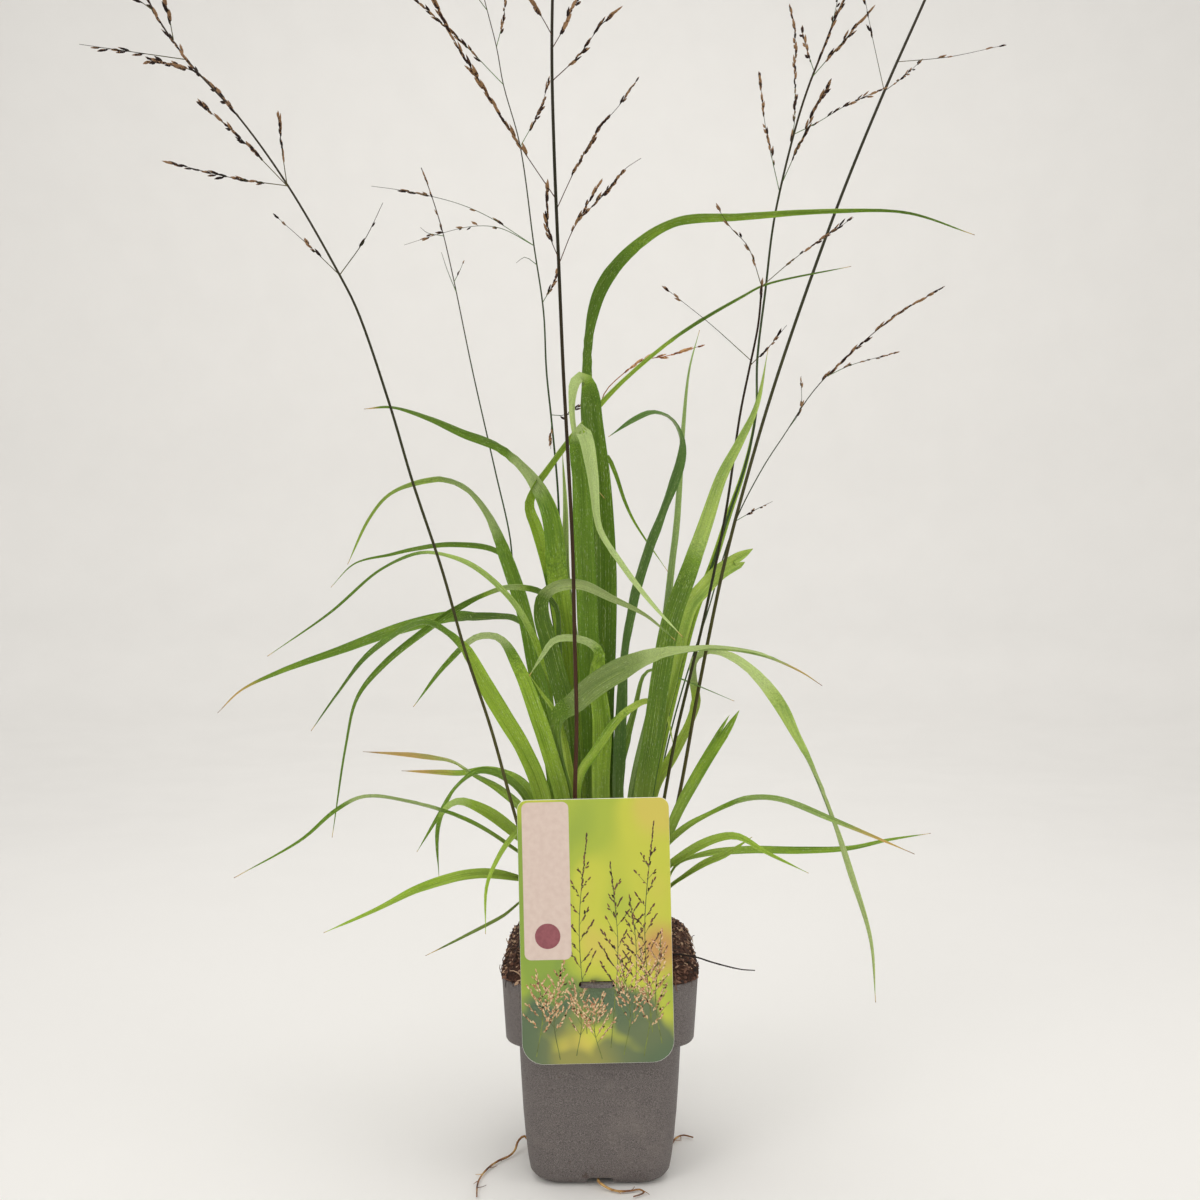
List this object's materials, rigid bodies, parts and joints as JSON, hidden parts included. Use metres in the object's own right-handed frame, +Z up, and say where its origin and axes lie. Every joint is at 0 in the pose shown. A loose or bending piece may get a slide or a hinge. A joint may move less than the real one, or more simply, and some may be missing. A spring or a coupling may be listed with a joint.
{
  "type": "potted ornamental grass",
  "caption": "Clump of arching green grass blades and tall, open flowering culms in a square grey nursery pot with a hanging card label.",
  "frame": {"origin": "centre of the pot's base, on the surface the pot stands on", "axes": "+Z up along the pot's axis, -Y out of the pot's front face, where the label hangs, +X to the right of the front"},
  "size_m": [0.6053, 0.3636, 0.9397],
  "materials": {
    "pot_plastic": "taupe grey moulded polypropylene with a fine grain",
    "label_card": "printed plastic card with a satin face",
    "peat": "dark brown fibrous peat",
    "green_leaf": "satin mid-green blade with fine lengthwise veins",
    "light_leaf": "satin yellow-green blade, paler beneath",
    "dark_leaf": "satin dark green blade",
    "dark_culm": "smooth very dark green stem with purple-brown spikelets",
    "green_culm": "smooth green stem with tan to purple-brown spikelets",
    "brown_culm": "smooth red-brown stem with purple-brown spikelets",
    "orange_culm": "ripening orange-brown stem and spikelets",
    "root": "tan wiry root",
    "straw": "dry brown stalk"
  },
  "bodies": {
    "root": {"pot": "pot_plastic", "label": "label_card", "peat": "peat", "tuft_left_lowest": "green_leaf", "tuft_left_low": "green_leaf", "tuft_left_back": "green_leaf", "tuft_left_front_arch": "green_leaf", "tuft_left_broad_arch": "green_leaf", "tuft_left_long": "green_leaf", "tuft_left_narrow": "green_leaf", "tuft_middle_left_tall": "green_leaf", "tuft_middle_folded": "light_leaf", "tuft_middle_broad": "green_leaf", "tuft_middle_bent_left": "green_leaf", "tuft_front_reaching_right": "light_leaf", "tuft_right_dark": "dark_leaf", "tuft_back_tall_arch": "green_leaf", "tuft_right_upright": "dark_leaf", "tuft_right_broad": "light_leaf", "tuft_right_cut": "green_leaf", "tuft_right_long_droop": "light_leaf", "tuft_right_low": "green_leaf", "tuft_right_front_low": "green_leaf", "culm_left_tall": "dark_culm", "culm_left_thin": "green_culm", "culm_middle_green": "green_culm", "culm_middle_dark": "brown_culm", "culm_right_tall": "dark_culm", "culm_right_dark": "dark_culm", "culm_right_green": "green_culm", "culm_right_thin": "green_culm", "culm_short_orange": "orange_culm", "root_left": "root", "root_front": "root", "root_right": "root", "dry_stalk": "straw"}
  },
  "joints": []
}
